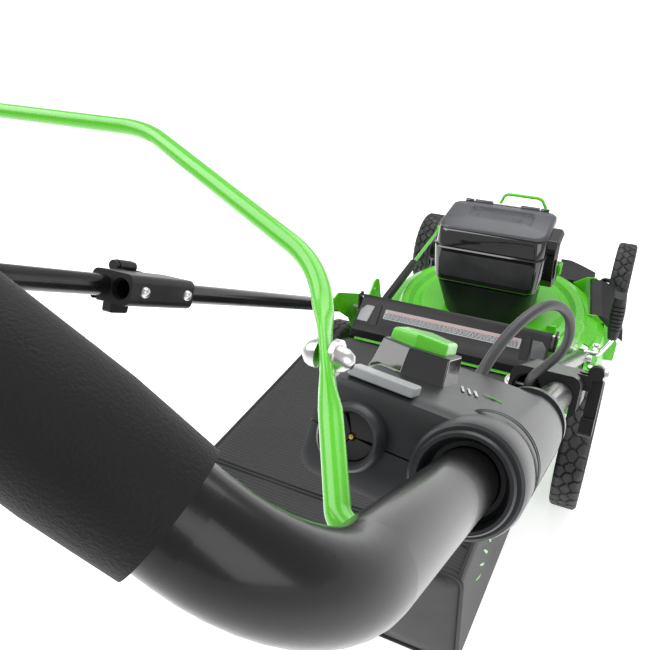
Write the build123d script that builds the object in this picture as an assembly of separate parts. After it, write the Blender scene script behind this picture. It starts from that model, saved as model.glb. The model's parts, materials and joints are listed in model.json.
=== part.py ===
# Walk-behind rear-bag mower, built as separate pieces that come apart on a bench.
# Drawn in millimetres from the rear axle: X to the user's right, Y forwards, Z up from the ground.
# place() moves every piece so that the origin lies under the middle of the whole machine.
from build123d import *
import math
import os

# ---------------------------------------------------------------- driving dimensions
wheel_base = 633.0            # rear spindle to front spindle
rear_wheel_r = 127.3          # 10 inch rear wheels
front_wheel_r = 101.7         # 8 inch front wheels
rear_wheel_out = 280.0        # outer face of the rear wheels
front_wheel_out = 275.5
rear_wheel_w = 48.0
front_wheel_w = 44.0
spindle_r = 6.0
run_gap = 0.05                # radial clearance of every turning or sliding fit
crank_r = 40.0                # spindle ahead of its torsion rod
crank_arm = 95.0              # link pin above its torsion rod
crank_rod_x = 200.0           # where the torsion rod bends into its crank
link_x = -218.0

deck_y = 305.0                # centre of the round deck and of the motor
deck_t = 2.5
deck_skirt_z = 52.0
deck_top_z = 200.0
blade_half = 248.0
blade_z = 72.0

leg_slope = math.degrees(math.atan2(0.570, 0.8216))
fold_y = 35.0                 # handle fold pin
fold_z = 300.3
lower_x = 229.0               # lower handle tubes
upper_x = 256.0               # upper handle tubes, outboard of the lower ones
tube_r = 12.7
tube_wall = 1.8
lower_end = 705.0             # along the leg from the fold pin
upper_start = 560.0
bend_s = 1226.0               # where the leg meets the cross piece
grip_r = 16.0
rivet_s = (605.0, 689.0)
clamp_s = (590.0, 712.0)
cam_pivot = (282.0, 22.0)     # x, height over the leg axis

box_s = (900.0, 1080.0)       # switch box, along the leg
box_x = (-73.0, 26.0)         # from the upper tube axis
box_h = (-27.0, 21.0)
box_roll = 6.0                # the box hangs a little lower outboard
box_split_h = -3.0
socket_x, socket_h = -49.5, -2.0
block_x = (-71.0, -33.0)      # raised switch block, from the tube axis
block_s = (985.0, 1026.0)
block_top = 34.0

bail_s = 1172.0               # bail pivot along the leg
bail_tilt = 13.7
bail_rod_r = 4.0
bail_bolt_x = 210.5

flap_pin = (8.0, 352.0)       # y, z
lid_pin = (386.0, 398.5)
door_pin = (208.0, 430.0, 172.0)
door_turn = 9.0               # the side door's hinge turns inwards towards the front
lever_pin = (208.0, 118.0)    # y, z of the height lever's pivot

handle_end_y = -983.0
frame_shift = -(wheel_base + front_wheel_r + handle_end_y - grip_r) / 2

LEG = Plane(origin=(0, fold_y, fold_z), x_dir=(1, 0, 0),
            z_dir=(0, -math.cos(math.radians(leg_slope)), math.sin(math.radians(leg_slope))))


# ---------------------------------------------------------------- helpers
def save(name, shape):
    export_step(Pos(0, frame_shift, 0) * shape, f"parts/{name}.step")


def xcyl(r, x0, x1, y, z):
    low, high = min(x0, x1), max(x0, x1)
    return Pos((low + high) / 2, y, z) * Rot(0, 90, 0) * Cylinder(r, high - low)


def zcyl(r, z0, z1, x=0.0, y=deck_y):
    return Pos(x, y, (z0 + z1) / 2) * Cylinder(r, z1 - z0)


def block(x0, x1, y0, y1, z0, z1):
    return Pos((x0 + x1) / 2, (y0 + y1) / 2, (z0 + z1) / 2) * Box(x1 - x0, y1 - y0, z1 - z0)


def side_plate(points, x0, x1):
    """A plate whose outline is given in (y, z), between two values of x."""
    face = Plane.YZ * make_face(Polyline(*points, close=True))
    return Pos(min(x0, x1), 0, 0) * extrude(face, abs(x1 - x0), dir=(1, 0, 0))


def plan_plate(points, z0, z1):
    """A plate whose outline is given in (x, y), between two values of z."""
    face = make_face(Polyline(*points, close=True))
    return Pos(0, 0, z0) * extrude(face, z1 - z0, dir=(0, 0, 1))


def rod(points, radii, r, hole=0.0):
    """A round bar or tube along straight runs joined by arcs."""
    path = FilletPolyline(*points, radius=radii)
    section = Circle(r) - Circle(hole) if hole else Circle(r)
    return sweep(Plane(path @ 0, z_dir=path % 0) * section, path=path)


def leg_point(x, h, s):
    p = LEG.from_local_coords(Vector(x, h, s))
    return (p.X, p.Y, p.Z)


def on_leg(shape):
    """Place a shape drawn in leg axes: x across, y over the leg, z along it from the fold pin."""
    return LEG.location * shape


def on_box(shape):
    """Place a shape drawn from the upper right tube's axis, turned by the switch box's roll."""
    return LEG.location * Pos(upper_x, 0, 0) * Rot(0, 0, -box_roll) * shape


def mirrored(shape):
    return mirror(shape, about=Plane.YZ)


def rounded_slab(x, y0, y1, z, r):
    return Pos(0, (y0 + y1) / 2, z) * RectangleRounded(2 * x, y1 - y0, r)


# ---------------------------------------------------------------- deck
def deck_form(cut):
    """Outer form of the deck, taken in by cut for the inside of its wall."""
    low = deck_skirt_z - (5 if cut else 0)
    profile = [(0, low), (264 - cut, low), (258 - cut, 130), (250 - cut, 154 - cut / 2), (236 - cut, 167 - cut),
               (212 - cut, 178 - cut), (204 - cut, 190 - cut), (188, 190 - cut), (178, 182 - cut), (164, 184 - cut),
               (152, deck_top_z - cut), (0, deck_top_z - cut)]
    bowl = revolve(Plane.XZ * make_face(Polyline(*profile, close=True)), axis=Axis.Z)
    bowl = Pos(0, deck_y, 0) * bowl
    wide, narrow = 254 - cut, 188 - cut
    rear = plan_plate([(-narrow, -18 + cut), (narrow, -18 + cut), (narrow, 138 + cut), (wide, 166 + cut),
                       (wide, deck_y), (-wide, deck_y), (-wide, 166 + cut), (-narrow, 138 + cut)], low, 164 - cut)
    if not cut:
        rear = fillet(rear.faces().sort_by(Axis.Z)[-1].edges(), 9)
    return bowl + rear


def deck_shell():
    shell = deck_form(0) - deck_form(deck_t)
    shell -= zcyl(76, 180, 210)
    shell -= block(-160, 160, -8, 92, 150, 170)
    shell -= block(-175, 175, -25, -5, 92, 140)
    shell -= block(212, 230, 165, 251, 150, 172)
    here = Pos(door_pin[0], door_pin[1], 0) * Rot(0, 0, door_turn)
    shell -= here * block(-10, 120, -76.9, 76.9, 59, 200)
    cheek = [(-60, 58), (60, 58), (62, 108), (44, 140), (8, 179), (-12, 179), (-30, 168), (-60, 150)]
    for y in (-78.5, 78.5):
        wall = extrude(Plane.XZ * make_face(Polyline(*cheek, close=True)), 1.4, both=True)
        shell += here * Pos(0, y, 0) * wall - deck_form(deck_t) - zcyl(252, 0, 160)
    return shell - side_door_pin()


def side_door_pin():
    return Pos(*door_pin) * Rot(0, 0, door_turn) * Rot(90, 0, 0) * Cylinder(2.5, 164)


def rear_chute():
    outer = [(-48, 142), (-48, 306), (-14, 332), (22, 338), (118, 204), (118, 166), (60, 166), (60, 142)]
    inner = [(-60, 146), (-60, 293), (-12, 328), (20, 334), (114, 203), (114, 130), (56, 130), (56, 146)]
    hood = side_plate(outer, -180, 180) - side_plate(inner, -176, 176)
    hood -= block(-188, 188, 59, 130, 130, 166.3)
    for side in (-1, 1):
        ear = side_plate([(-8, 330), (24, 330), (16, 360), (0, 360)], side * 186, side * 190)
        ear += block(min(side * 176, side * 190), max(side * 176, side * 190), -8, 24, 330, 336)
        hood += ear
    hood -= deck_form(0)
    return hood.solids().sort_by(SortBy.VOLUME)[-1] - xcyl(3.0, -200, 200, *flap_pin)


def axle_bushes():
    """Bushes that carry the rear and front torsion rods under the deck."""
    bushes = []
    for side in (-1, 1):
        rear = block(side * 170 - 7, side * 170 + 7, -51, -18.1, 114, 141)
        front = block(side * 120 - 7, side * 120 + 7, 534, 609, 88, 116)
        rear -= xcyl(8 + run_gap, -300, 300, -crank_r, rear_wheel_r)
        front -= xcyl(8 + run_gap, -300, 300, wheel_base - crank_r, front_wheel_r)
        front -= deck_form(0)
        bushes += [rear, front]
    return Compound(bushes)


def handle_bracket():
    """Right-hand bracket: a foot on the deck, a web, a step over the link and the cheek beside the leg."""
    web = side_plate([(30, 164), (146, 164), (165, 240), (22, 240)], 184, 187)
    step = side_plate([(22, 237), (165, 237), (165, 240), (22, 240)], 184, 215.5)
    cheek = side_plate([(22, 237), (165, 237), (158, 296), (148, 304), (132, 306), (104, 290), (72, 312), (-38, 384),
                        (-62, 384), (-70, 372), (-2, 300)], 212.5, 215.5)
    bracket = web + step + cheek
    bracket -= xcyl(4.0 + run_gap, 180, 250, fold_y, fold_z)
    bracket -= xcyl(4.5, 180, 250, 132, 290)
    return bracket


def frame_bolts():
    bolts = []
    for side in (-1, 1):
        pin = xcyl(4.0, side * 207, side * 250, fold_y, fold_z)
        pin += xcyl(7.5, side * 207, side * 212.4, fold_y, fold_z)
        pin += xcyl(7.5, side * 243, side * 250, fold_y, fold_z)
        bolts.append(pin)
        for y, z in ((60, 205), (140, 205)):
            bolts.append(xcyl(6, side * 183.9, side * 180.1, y, z))
    for side in (-1, 1):
        for y in (deck_y - 118, deck_y + 118):
            bolts.append(zcyl(7, deck_top_z, deck_top_z + 7, side * 62, y))
    for y in (178, 240):
        bolts.append(zcyl(5, 167, 171.5, 244, y))
    return Compound(bolts)


def carry_handle():
    z_top, y_top = 337.0, 566.0
    feet = [(-60, 556, 150), (-60, 578, 250), (-60, 578, 296)]
    points = feet + [(-44, y_top, z_top), (44, y_top, z_top)] + [(-x, y, z) for x, y, z in reversed(feet)]
    bar = rod(points, [16, 30, 18, 18, 30, 16], 4.0)
    return bar - deck_form(0)


def height_quadrant():
    """Notched plate on the deck and, under it, the hanger that holds the lever's pivot."""
    y, z = lever_pin
    plate = xcyl(58, 236, 239, y, z) - block(200, 260, y - 80, y + 80, z - 80, 167)
    for step in range(-3, 4):
        plate -= Pos(237.5, y, z) * Rot(8 * step, 0, 0) * Pos(0, 0, 58) * Box(8, 4, 5)
    foot = block(232, 250, y - 40, y + 44, 164.05, 167)
    hanger = block(196, 204, y - 12, y + 12, z - 12, 161.4)
    hanger -= xcyl(5 + run_gap, 150, 260, y, z)
    return Compound([plate + foot, hanger])


def front_cap():
    cap = block(96, 196, 508, 600, 128, 162)
    cap = fillet(cap.edges().filter_by(Axis.Z), 16)
    cap &= Pos(0, deck_y, 100) * Cylinder(322, 200)
    cap -= deck_form(0)
    return cap.solids().sort_by(SortBy.VOLUME)[-1]


def hinge_rods():
    flap = xcyl(3.0 - run_gap, -193, 193, *flap_pin)
    lid = xcyl(2.5, -92, 92, *lid_pin)
    return Compound([flap, lid, side_door_pin()])


# ---------------------------------------------------------------- power unit
def housing_form(cut):
    """Lower shell and gloss band of the power unit."""
    floor = rounded_slab(112 - cut, 212 + cut, 410 - cut, 285 + cut, 26)
    step = rounded_slab(117 - cut, 226 + cut, 398 - cut, 363, 24)
    rim = rounded_slab(114 - cut, 246 + cut, 380 - cut, 396, 24)
    return loft([floor, step]) + loft([step, rim])


def key_pod():
    return side_plate([(262, 288), (330, 288), (346, 346), (330, 392), (272, 392), (254, 346)], 104, 138)


def housing_body():
    shell = housing_form(0) + key_pod()
    shell -= housing_form(3)
    shell -= zcyl(12, 280, 292, 0, 238)
    shell -= block(106, 150, 289.8, 306.2, 309.8, 324.2)
    for side in (-1, 1):
        knuckle = xcyl(5, side * 74, side * 92, *lid_pin)
        knuckle += block(min(side * 74, side * 92), max(side * 74, side * 92), 380.2, 386, 385, 398.5)
        shell += knuckle
    return shell - xcyl(2.5, -100, 100, *lid_pin)


def battery_lid():
    """Crowned lid with a scooped hand recess, hinged at the front."""
    top = [(248, 396.4), (256, 402), (296, 410), (330, 411), (358, 406), (374, 400), (380, 396.4)]
    under = [(256, 390), (262, 400), (294, 405.5), (340, 405.5), (356, 402), (368, 398), (372, 390)]
    crown = side_plate(top, -114, 114) & Pos(0, 314, 400) * extrude(RectangleRounded(228, 132, 24), 30, both=True)
    crown = fillet(crown.faces().sort_by(Axis.Z)[-3:].edges().filter_by(Axis.X), 2)
    lid = crown - side_plate(under, -108, 108)
    lid += block(-56, 60, 292, 353, 399.5, 406.5)
    lid -= block(-53, 57, 295, 350, 402.5, 430)
    for side in (-1, 1):
        knuckle = xcyl(5, side * 30, side * 72, *lid_pin)
        knuckle += block(min(side * 30, side * 72), max(side * 30, side * 72), 374, 386, 398.5, 403)
        lid += knuckle
    return lid - xcyl(2.5 + run_gap, -100, 100, *lid_pin)


def safety_key():
    stem = block(108, 139, 290, 306, 310, 324)
    head = block(138.05, 145, 286, 310, 304, 330)
    return stem + fillet(head.edges().filter_by(Axis.X), 5)


def battery_tray():
    return block(-80, 80, 258, 372, 289, 372) - block(-77, 77, 261, 369, 292, 380)


def battery_pack():
    pack = fillet(block(-72, 72, 266, 364, 294, 364).edges(), 6)
    grip = block(-34, 34, 290, 340, 363, 376) - block(-26, 26, 298, 332, 364.5, 371)
    return pack + grip


def controller_board():
    board = block(-70, 70, 236, 238, 296, 350)
    for x in (-45, -15, 15, 45):
        board += Pos(x, 245, 325) * Rot(90, 0, 0) * Cylinder(8, 14.5)
    board += block(-50, 50, 237.5, 246, 300, 310)
    return board


def motor_shroud():
    foot = Pos(0, deck_y, deck_top_z + 0.2) * RectangleRounded(190, 184, 60)
    foot_inside = Pos(0, deck_y, deck_top_z - 1) * RectangleRounded(184, 178, 57)
    outer = loft([foot, rounded_slab(106, 214, 408, 284.8, 26)])
    return outer - loft([foot_inside, rounded_slab(103, 217, 405, 286, 24)])


def motor_mount():
    """Motor can with its flange on the deck and the two bearing seats."""
    can = zcyl(84, deck_top_z + 0.2, 206) + zcyl(68, 206, 282)
    can -= zcyl(64, 206, 277)
    can -= zcyl(11, 190, 290)
    can -= zcyl(15, 190, 206.2)
    can -= zcyl(15, 274, 277.2)
    return can


def motor_bearings():
    low = zcyl(15, 196, 206) - zcyl(8, 190, 210)
    high = zcyl(15, 268, 277) - zcyl(8, 260, 280)
    return Compound([low, high])


def motor_stator():
    ring = zcyl(64, 214, 262) - zcyl(43, 200, 280)
    for i in range(12):
        ring -= Pos(0, deck_y, 238) * Rot(0, 0, 30 * i) * Pos(49, 0, 0) * Box(13, 8, 60)
    return ring


def motor_rotor():
    return zcyl(42, 216, 260) - zcyl(8, 200, 280)


def motor_shaft():
    return zcyl(8 - run_gap / 5, 92, 272)


def blade_adapter():
    hub = zcyl(24, 80, 90) + zcyl(15, 90, 120)
    return hub - zcyl(8, 92, 130) - zcyl(5, 70, 100)


def cutting_blade():
    half = plan_plate([(-28, -26), (60, -26), (blade_half - 8, -22), (blade_half, 20), (60, 26), (-28, 26)], 76, 80)
    wing = side_plate([(14, 76), (20, 76), (34, 90), (30, 92)], 178, blade_half - 14)
    blade = half + wing
    blade += Rot(0, 0, 180) * blade
    return Pos(0, deck_y, 0) * blade - zcyl(5, 60, 90)


def blade_bolt():
    bolt = extrude(Pos(0, deck_y, 66) * RegularPolygon(10, 6), 10) + zcyl(5, 70, 91.8)
    return bolt


# ---------------------------------------------------------------- covers that swing
def rear_flap():
    """Flap over the bag's mouth, with a shallow panel recess and a stiffening lip."""
    y, z = flap_pin
    plate = side_plate([(y - 4, z - 3), (y - 2, z + 5), (y - 68, z - 26), (y - 76, z - 40), (y - 72, z - 41),
                        (y - 66, z - 31)], -182, 182)
    plate += xcyl(6, -182, 182, y, z)
    panel = side_plate([(y - 10, z + 10), (y - 62, z - 14), (y - 62, z - 24.5), (y - 10, z - 0.5)], -130, 140)
    plate -= panel
    return plate - xcyl(3.0, -200, 200, y, z)


def discharge_door():
    """Side cover, drawn across its hinge then turned with it: x outwards, z up."""
    outline = [(-4, 0), (0, 5), (20, 4), (52, -10), (68, -28), (72, -58), (69, -58), (64, -30), (49, -13), (18, 0.5)]
    face = Plane.XZ * make_face(Polyline(*outline, close=True))
    door = extrude(face, 76, both=True)
    door += Rot(90, 0, 0) * Cylinder(5.5, 152)
    for y in (-74, 74):
        cheek = Plane.XZ * make_face(Polyline((8, 2), (20, 1), (50, -12), (65, -29), (70, -57), (30, -30), close=True))
        door += Pos(0, y, 0) * extrude(cheek, 1.5, both=True)
    door -= Rot(90, 0, 0) * Cylinder(2.5 + run_gap, 200)
    return Pos(*door_pin) * Rot(0, 0, door_turn) * door


# ---------------------------------------------------------------- grass bag
def bag_form(cut):
    points = [(-54, 128 + cut), (-54, 296 - cut), (-120, 334 - cut), (-236, 392 - cut), (-566 + cut, 430 - cut),
              (-588 + cut, 414), (-566 + cut, 236), (-538 + cut, 214 + cut), (-217, 116 + cut), (-100, 108 + cut)]
    solid = side_plate(points, -194 + cut, 194 - cut)
    return solid


def bag_fabric():
    outer = bag_form(0)
    outer = fillet(outer.edges().filter_by(Axis.X).sort_by(Axis.Y)[0:4], 14)
    inner = bag_form(4) + block(-180, 180, -60, -40, 138, 291)
    return outer - inner


def bag_frame():
    """Wire loop that holds the mouth of the bag open."""
    half = rod([(0, -62, 284), (172, -62, 284), (172, -62, 144), (0, -62, 144)], [14, 14], 3.5)
    return half + mirrored(half)


# ---------------------------------------------------------------- height adjustment
def crank_axle(y, z, out_x, arm):
    """Torsion rod with a crank and a spindle at each end, and one arm up to the link."""
    x = crank_rod_x
    right = [(0, y, z), (x, y, z), (x + 14, y + crank_r, z), (out_x - 3, y + crank_r, z)]
    axle = rod(right, [9, 9], spindle_r) + rod([(-p[0], p[1], p[2]) for p in right], [9, 9], spindle_r)
    axle += xcyl(8, -(x - 20), x - 20, y, z)
    if arm:
        lever = side_plate([(y - 12, z - 10), (y + 12, z - 10), (y + 8, z + arm + 8), (y - 8, z + arm + 8)], -197, -201)
        axle += lever
        axle += xcyl(4, -197, link_x - 8, y, z + arm)
    return axle


def link_points():
    rear = (-crank_r, rear_wheel_r + crank_arm)
    front = (wheel_base - crank_r, front_wheel_r + crank_arm)
    return rear, front


def link_rod():
    (y0, z0), (y1, z1) = link_points()
    bar = rod_between((link_x, y0, z0), (link_x, y1, z1), 4.0)
    for y, z in ((y0, z0), (y1, z1)):
        bar += xcyl(8, link_x - 5, link_x + 5, y, z)
    for y, z in ((y0, z0), (y1, z1)):
        bar -= xcyl(4 + run_gap, link_x - 20, link_x + 20, y, z)
    return bar


def rod_between(a, b, r):
    start, end = Vector(*a), Vector(*b)
    direction = end - start
    return extrude(Plane(origin=start, z_dir=direction) * Circle(r), direction.length)


def link_sleeve():
    (y0, z0), (y1, z1) = link_points()
    share = [(y - y0) / (y1 - y0) for y in (150.0, 388.0)]
    a, b = [(link_x, y0 + t * (y1 - y0), z0 + t * (z1 - z0)) for t in share]
    return rod_between(a, b, 10.0) - rod_between((link_x, y0, z0), (link_x, y1, z1), 4.0)


def height_lever():
    y, z = lever_pin
    points = [(190, y, z), (220, y, z), (220, y, z + 65), (253, y, z + 65), (272, y + 30, z + 86), (271, y + 42, z + 176)]
    return rod(points, [9, 9, 12, 14], 5.0)


def lever_grip():
    y, z = lever_pin
    low, high = Vector(272, y + 31, z + 92), Vector(271, y + 44, z + 188)
    along = high - low
    plane = Plane(origin=low, x_dir=(1, 0, 0), z_dir=along)
    grip = loft([plane * RectangleRounded(18, 22, 6), plane.offset(30) * RectangleRounded(26, 30, 8),
                 plane.offset(along.length) * RectangleRounded(22, 34, 9)])
    for i in range(7):
        grip -= plane.offset(24 + 9 * i) * (Box(40, 40, 2.4) - Box(21, 25, 6))
    return grip - height_lever()


# ---------------------------------------------------------------- wheels
def wheel_tyre(r, width, out_x, y, z):
    """Tyre of the right-hand wheel, turned about its spindle."""
    x0, x1 = out_x - width, out_x
    band = r * 0.17
    profile = [(x0 + 4, r - band), (x0, r - band + 3), (x0, r - 7), (x0 + 6, r), (x1 - 6, r), (x1, r - 7),
               (x1, r - band + 3), (x1 - 4, r - band)]
    face = Plane.XZ * make_face(Polyline(*profile, close=True))
    return Pos(0, y, z) * revolve(face, axis=Axis.X)


def wheel_rim(r, width, out_x, y, z):
    """Dished rim with its hub and hub cap, and spoke windows."""
    x0, x1 = out_x - width, out_x
    edge = r * 0.83
    profile = [(x0 + 2, spindle_r + run_gap), (x0 + 2, 20), (x0 + 16, 24), (x0 + 16, edge - 8),
               (x0 + 4, edge - 5), (x0 + 4, edge), (x1 - 4, edge), (x1 - 4, edge - 5), (x1 - 12, edge - 9), (x1 - 14, 30), (x1 - 5, 24), (x1 - 2, 18), (x1 - 2, 0),
               (x1 - 3, 0), (x1 - 3, spindle_r + run_gap)]
    face = Plane.XZ * make_face(Polyline(*profile, close=True))
    rim = revolve(face, axis=Axis.X)
    for i in range(6):
        window = Pos(0, 0, (edge + 20) / 2) * Box(40, edge * 0.30, edge - 44)
        rim -= Pos(out_x - 15, 0, 0) * Rot(60 * i, 0, 0) * window
    return Pos(0, y, z) * rim


# ---------------------------------------------------------------- handle
def lower_tube():
    bar = Pos(lower_x, 0, (lower_end - 18) / 2) * (Cylinder(tube_r, lower_end + 18) - Cylinder(tube_r - tube_wall, 900))
    bar = on_leg(bar)
    bar -= xcyl(4.0 + run_gap, 200, 260, fold_y, fold_z)
    for s in rivet_s:
        bar -= on_leg(Pos(lower_x, 0, s) * Rot(0, 90, 0) * Cylinder(3, 60))
    return bar


def clamp_sleeve():
    """Plastic sleeve that holds the lower tube and guides the upper one."""
    s0, s1 = clamp_s
    body = Pos((213 + 273) / 2, 0, (s0 + s1) / 2) * Box(60, 37, s1 - s0)
    body = fillet(body.edges().filter_by(Axis.Z), 9)
    body -= Pos(lower_x, 0, 640) * Cylinder(tube_r + run_gap, 300)
    body -= Pos(upper_x, 0, 640) * Cylinder(tube_r + run_gap, 300)
    body -= Pos(264, -20, (s0 + s1) / 2) * Box(6, 24, 200)
    for s in rivet_s:
        body -= Pos(lower_x - 9, 0, s) * Rot(0, 90, 0) * Cylinder(3, 32)
    px, ph = cam_pivot
    for s in (633.5, 666.5):
        ear = Pos(px, ph, s) * Cylinder(6.5, 5) + Pos(px - 9, ph - 10, s) * Box(14, 14, 5)
        body += ear
    body -= Pos(lower_x, 0, 640) * Cylinder(tube_r + run_gap, 300)
    body -= Pos(upper_x, 0, 640) * Cylinder(tube_r + run_gap, 300)
    body += Pos(px, ph, 650) * Cylinder(3, 38)
    return on_leg(body)


def cam_lever():
    """Cam lever of the right clamp, closed against the sleeve's outer face."""
    px, ph = cam_pivot
    lever = Pos(px, ph, 650) * Cylinder(7.4, 26)
    arm = Pos(px + 1.5, ph - 29, 650) * Box(11, 58, 26)
    pad = Pos(px + 1.0, ph - 50, 650) * Box(12, 18, 34)
    lever += arm + fillet(pad.edges().filter_by(Axis.X), 4)
    lever -= Pos(px, ph, 650) * Cylinder(3 + run_gap, 60)
    return on_leg(lever)


def clamp_rivets():
    rivets = []
    for s in rivet_s:
        shank = Pos(lower_x - 9, 0, s) * Rot(0, 90, 0) * Cylinder(3, 16)
        dome = Pos(213, 0, s) * (Sphere(7) - Pos(7.5, 0, 0) * Box(15, 20, 20))
        for side in (1, -1):
            one = on_leg(shank + dome)
            rivets.append(one if side > 0 else mirrored(one))
    return Compound(rivets)


def handle_tube():
    y, z = leg_point(0, 0, bend_s)[1:]
    start = leg_point(upper_x, 0, upper_start)
    right = [start, (upper_x, y, z), (128, handle_end_y, z + 104)]
    points = right + [(-px, py, pz) for px, py, pz in reversed(right)]
    tube = rod(points, [48, 60, 60, 48], tube_r, tube_r - tube_wall)
    for side in (-1, 1):
        hole = on_leg(Pos(side * (upper_x - 9), 0, bail_s) * Rot(0, 90, 0) * Cylinder(bail_rod_r + run_gap, 18))
        tube -= hole
    return tube


def grip_foam():
    y, z = leg_point(0, 0, bend_s)[1:]
    corner, top = Vector(upper_x, y, z), Vector(128, handle_end_y, z + 104)
    start = corner + (top - corner).normalized() * 36
    right = [(start.X, start.Y, start.Z), (top.X, top.Y, top.Z)]
    points = right + [(-px, py, pz) for px, py, pz in reversed(right)]
    return rod(points, [60, 60], grip_r, tube_r)


def box_form(cut):
    x0, x1, h0, h1, s0, s1 = *box_x, *box_h, *box_s
    solid = Box(x1 - x0 - 2 * cut, h1 - h0 - 2 * cut, s1 - s0 - 2 * cut)
    solid = fillet(solid.edges().filter_by(Axis.Z), 10 - cut)
    return Pos((x0 + x1) / 2, (h0 + h1) / 2, (s0 + s1) / 2) * solid


def tube_bore(r=tube_r + run_gap):
    return Rot(0, 0, box_roll) * Cylinder(r, 4000)


def box_top():
    """Upper half: the raised switch block, the ledge on the user's edge and half the socket ring."""
    mid = Pos(0, box_split_h + 50, 1000) * Box(300, 100, 600)
    shell = (box_form(0) - box_form(2.5)) & mid
    bx, bs = sum(block_x) / 2, sum(block_s) / 2
    wide, deep = block_x[1] - block_x[0], block_s[1] - block_s[0]
    base = Plane(origin=(bx, box_h[1] - 5, bs), x_dir=(1, 0, 0), z_dir=(0, 1, 0))
    crest = base.offset(block_top - box_h[1] + 5) * RectangleRounded(wide - 5, deep - 6, 3)
    shell += loft([base * RectangleRounded(wide, deep, 4), crest])
    shell += Pos(-47, box_h[1], 1070) * Box(30, 6, 12)
    shell -= Pos(bx, block_top - 6, bs) * Box(30.4, 18, 17.4)
    shell -= Pos(socket_x, socket_h, 1080) * Cylinder(13, 30)
    return on_box(shell - tube_bore())


def box_bottom():
    """Lower half with the collar round the tube and the cone towards the clamp."""
    low = Pos(0, box_split_h - 50, 1000) * Box(300, 100, 600)
    shell = (box_form(0) - box_form(2.5)) & low
    shell -= Pos(socket_x, socket_h, 1080) * Cylinder(13, 30)
    shell += Pos(0, 0, box_s[1] + 6) * (Cylinder(23, 12) - Pos(0, 0, 5) * Cylinder(18, 8))
    shell += Pos(0, 0, box_s[0] - 22.5) * Cone(14.5, 24, 45)
    return on_box(shell - tube_bore())


def start_socket():
    """Round socket with a slit rubber disc and a brass pin behind it."""
    ring = Cylinder(13, 26) - Pos(0, 0, 8) * Cylinder(10.5, 12)
    slit = Pos(0, 0, 2) * (Box(0.8, 20, 6) + Box(20, 0.8, 6))
    return on_box(Pos(socket_x, socket_h, 1080) * (ring - slit))


def start_button():
    bx, bs = sum(block_x) / 2, sum(block_s) / 2
    cap = Pos(bx, block_top + 0.5, bs) * Box(30, 13, 17)
    cap = fillet(cap.faces().sort_by(Axis.Y)[-1].edges(), 2)
    return on_box(cap)


def bail_plane():
    pivot = leg_point(0, 0, bail_s)
    tilt = math.radians(bail_tilt)
    return Plane(origin=pivot, x_dir=(1, 0, 0), z_dir=(0, -math.sin(tilt), math.cos(tilt)))


def bail_bar():
    plane = bail_plane()
    right = [(250, 0), (239, 0), (190, 93), (62, 160)]
    outline = right + [(-x, y) for x, y in reversed(right)]
    points = []
    for x, y in outline:
        p = plane.from_local_coords(Vector(x, y, 0))
        points.append((p.X, p.Y, p.Z))
    bar = rod(points, [7, 30, 30, 30, 30, 7], bail_rod_r)
    bolt = plane.location * Pos(bail_bolt_x, 54, 0) * Rot(0, 90, 0) * Cylinder(2.5, 40)
    return bar - bolt


def bail_nuts():
    bolt = Cylinder(2.5, 16) + Pos(0, 0, 9.5) * Cylinder(4.6, 5) + Pos(0, 0, -8.5) * Cylinder(4.6, 3)
    return bail_plane().location * Pos(bail_bolt_x, 54, 0) * Rot(0, 90, 0) * bolt


def power_cable():
    """Lead from the switch box, over the clamp and down to the clip on the lower leg."""
    route = [(213, 8, 900), (213, 8, 878), (222, 44, 856), (236, 70, 824), (247, 77, 790), (257, 68, 758),
             (257, 43, 738), (243, 24, 727), (230, 9, 718), (229, 0, 698)]
    points = [leg_point(*p) for p in route]
    radii = []
    for a, b, c in zip(points, points[1:], points[2:]):
        one, two = Vector(*b) - Vector(*a), Vector(*c) - Vector(*b)
        turn = math.radians(one.get_angle(two))
        radii.append(0.45 * min(one.length, two.length) / math.tan(turn / 2))
    print("cable radii", [round(r, 1) for r in radii])
    return rod(points, radii, 4.0)


# ---------------------------------------------------------------- write every piece
def wheel_set(corner):
    side = 1 if corner.endswith("right") else -1
    rear = corner.startswith("rear")
    sizes = (rear_wheel_r, rear_wheel_w, rear_wheel_out, 0.0, rear_wheel_r)
    if not rear:
        sizes = (front_wheel_r, front_wheel_w, front_wheel_out, wheel_base, front_wheel_r)
    for kind, make in (("tyre", wheel_tyre), ("rim", wheel_rim)):
        piece = make(*sizes)
        save(f"{kind}_{corner}", piece if side > 0 else mirrored(piece))


def pair(name, piece):
    save(f"{name}_right", piece)
    save(f"{name}_left", mirrored(piece))


os.makedirs("parts", exist_ok=True)
save("rear_axle", crank_axle(-crank_r, rear_wheel_r, rear_wheel_out, crank_arm))
save("front_axle", crank_axle(wheel_base - crank_r, front_wheel_r, front_wheel_out, crank_arm))
for one in ("rear_right", "rear_left", "front_right", "front_left"):
    wheel_set(one)
pair("handle_bracket", handle_bracket())
pair("lower_tube", lower_tube())
pair("clamp_sleeve", clamp_sleeve())
pair("cam_lever", cam_lever())
for make in (deck_shell, rear_chute, axle_bushes, frame_bolts, carry_handle, height_quadrant, front_cap, hinge_rods,
             housing_body, battery_lid, safety_key, battery_tray, battery_pack, controller_board, motor_shroud,
             motor_mount, motor_bearings, motor_stator, motor_rotor, motor_shaft, blade_adapter, cutting_blade,
             blade_bolt, rear_flap, discharge_door, bag_fabric, bag_frame, link_rod, link_sleeve, height_lever,
             lever_grip, clamp_rivets, handle_tube, grip_foam, box_top, box_bottom, start_socket, start_button,
             bail_bar, bail_nuts, power_cable):
    save(make.__name__, make())
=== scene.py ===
import json
import math
import bmesh
import bpy
from mathutils import Matrix, Vector, noise


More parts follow.
